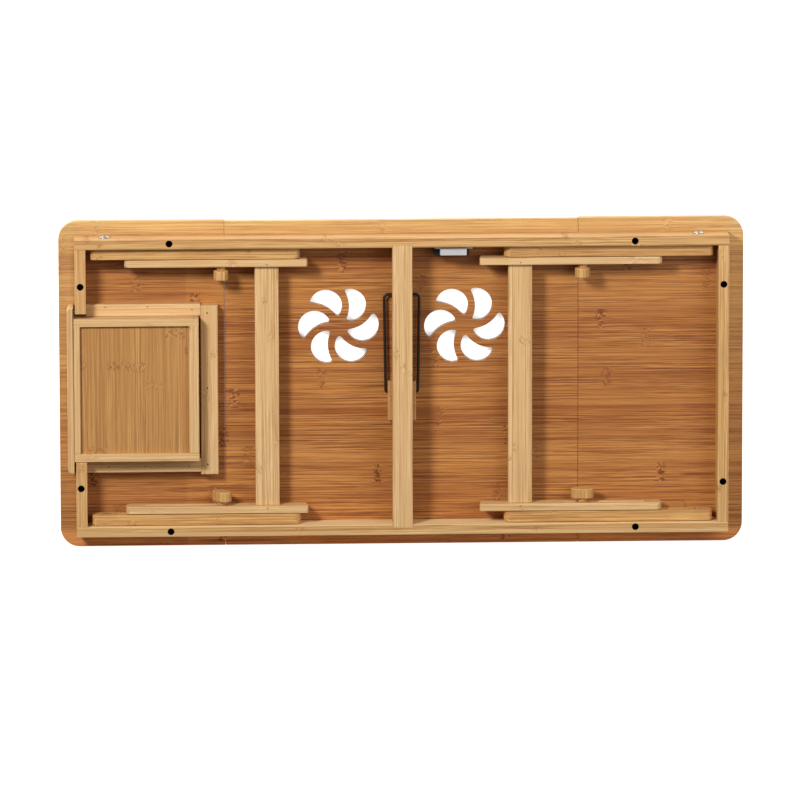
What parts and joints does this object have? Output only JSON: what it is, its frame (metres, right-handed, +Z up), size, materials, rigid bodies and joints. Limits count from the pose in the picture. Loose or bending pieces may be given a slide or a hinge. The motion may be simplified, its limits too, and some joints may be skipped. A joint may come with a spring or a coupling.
{
  "type": "folding lap desk with drawer",
  "caption": "Folding bamboo lap desk lying upside down on its table top, with telescopic folding legs, clamp knobs, a tilting vented middle board, a support bail and a side drawer",
  "frame": {"origin": "centre of the table top's outer face, which lies on the floor", "axes": "+X along the length towards the end without the drawer, +Y towards the back edge (away from the tilt hinge), +Z up from the floor, out of the desk's underside"},
  "size_m": [0.72, 0.347, 0.042],
  "materials": {
    "panel_wood": "satin lacquer, carbonised bamboo strips",
    "rail_wood": "satin lacquer, laminated bamboo",
    "pale_wood": "satin lacquer, pale bamboo",
    "steel": "zinc plated",
    "brass": "turned",
    "black_wire": "black coated wire",
    "catch_plastic": "moulded",
    "catch_black": "black ferrite and plate"
  },
  "bodies": {
    "top": {"tilting_panel": "panel_wood", "bail_block": "pale_wood", "catch_keeper": "steel"},
    "frame": {"left_panel": "panel_wood", "right_panel": "panel_wood", "back_rail": "rail_wood", "front_rail": "rail_wood", "right_rail": "rail_wood", "left_rail_back": "rail_wood", "left_rail_front": "rail_wood", "center_bar": "pale_wood", "rail_screws": "steel", "hinge_pins": "steel", "catch_body": "catch_plastic", "catch_magnet": "catch_black", "drawer_guide_back": "rail_wood", "drawer_guide_front": "rail_wood", "drawer_stop_block": "rail_wood", "housing_brads": "steel", "stop_magnet": "steel", "leg_pivot_bolts": "steel", "leg_pivot_nuts": "steel"},
    "bail": {"support_bail": "black_wire"},
    "drawer": {"drawer_front": "pale_wood", "drawer_inner_front": "pale_wood", "drawer_back": "pale_wood", "drawer_side_back": "pale_wood", "drawer_side_front": "pale_wood", "drawer_floor": "panel_wood", "drawer_strike": "steel"},
    "left_leg": {"left_outer_leg_back": "rail_wood", "left_outer_leg_front": "rail_wood", "left_clamp_bolts": "steel"},
    "left_extension": {"left_inner_leg_back": "pale_wood", "left_inner_leg_front": "pale_wood", "left_stretcher": "pale_wood", "left_guide_pins": "steel", "left_stretcher_brads": "steel"},
    "left_back_knob": {"left_knob_back": "rail_wood", "left_insert_back": "brass"},
    "left_front_knob": {"left_knob_front": "rail_wood", "left_insert_front": "brass"},
    "right_leg": {"right_outer_leg_back": "rail_wood", "right_outer_leg_front": "rail_wood", "right_clamp_bolts": "steel"},
    "right_extension": {"right_inner_leg_back": "pale_wood", "right_inner_leg_front": "pale_wood", "right_stretcher": "pale_wood", "right_guide_pins": "steel", "right_stretcher_brads": "steel"},
    "right_back_knob": {"right_knob_back": "rail_wood", "right_insert_back": "brass"},
    "right_front_knob": {"right_knob_front": "rail_wood", "right_insert_front": "brass"}
  },
  "joints": [
    {"name": "panel_tilt", "type": "hinge", "parent": "top", "child": "frame", "pos_m": [0, -0.165, 0.005], "axis": [1, 0, 0], "range_deg": [0, 30]},
    {"name": "bail_swing", "type": "hinge", "parent": "top", "child": "bail", "pos_m": [0, -0.0097, 0.015], "axis": [1, 0, 0], "range_deg": [0, 82]},
    {"name": "drawer_slide", "type": "slide", "parent": "frame", "child": "drawer", "axis": [-1, 0, 0], "range_m": [0, 0.1]},
    {"name": "left_leg_fold", "type": "hinge", "parent": "frame", "child": "left_leg", "pos_m": [-0.3115, 0, 0.0255], "axis": [0, -1, 0], "range_deg": [0, 96]},
    {"name": "left_leg_extend", "type": "slide", "parent": "left_leg", "child": "left_extension", "axis": [1, 0, 0], "range_m": [0, 0.08]},
    {"name": "left_back_knob_turn", "type": "hinge", "parent": "left_leg", "child": "left_back_knob", "pos_m": [-0.1899, 0.118, 0.0255], "axis": [0, 1, 0], "range_deg": [0, 270]},
    {"name": "left_front_knob_turn", "type": "hinge", "parent": "left_leg", "child": "left_front_knob", "pos_m": [-0.1899, -0.118, 0.0255], "axis": [0, 1, 0], "range_deg": [0, 270]},
    {"name": "right_leg_fold", "type": "hinge", "parent": "frame", "child": "right_leg", "pos_m": [0.3115, 0, 0.0255], "axis": [0, 1, 0], "range_deg": [0, 96]},
    {"name": "right_leg_extend", "type": "slide", "parent": "right_leg", "child": "right_extension", "axis": [-1, 0, 0], "range_m": [-0.018, 0.062]},
    {"name": "right_back_knob_turn", "type": "hinge", "parent": "right_leg", "child": "right_back_knob", "pos_m": [0.1899, 0.118, 0.0255], "axis": [0, 1, 0], "range_deg": [0, 270]},
    {"name": "right_front_knob_turn", "type": "hinge", "parent": "right_leg", "child": "right_front_knob", "pos_m": [0.1899, -0.118, 0.0255], "axis": [0, 1, 0], "range_deg": [0, 270]}
  ],
  "couplings": [
    {"joint": "bail_swing", "follows": "panel_tilt", "ratio": 2.72}
  ]
}
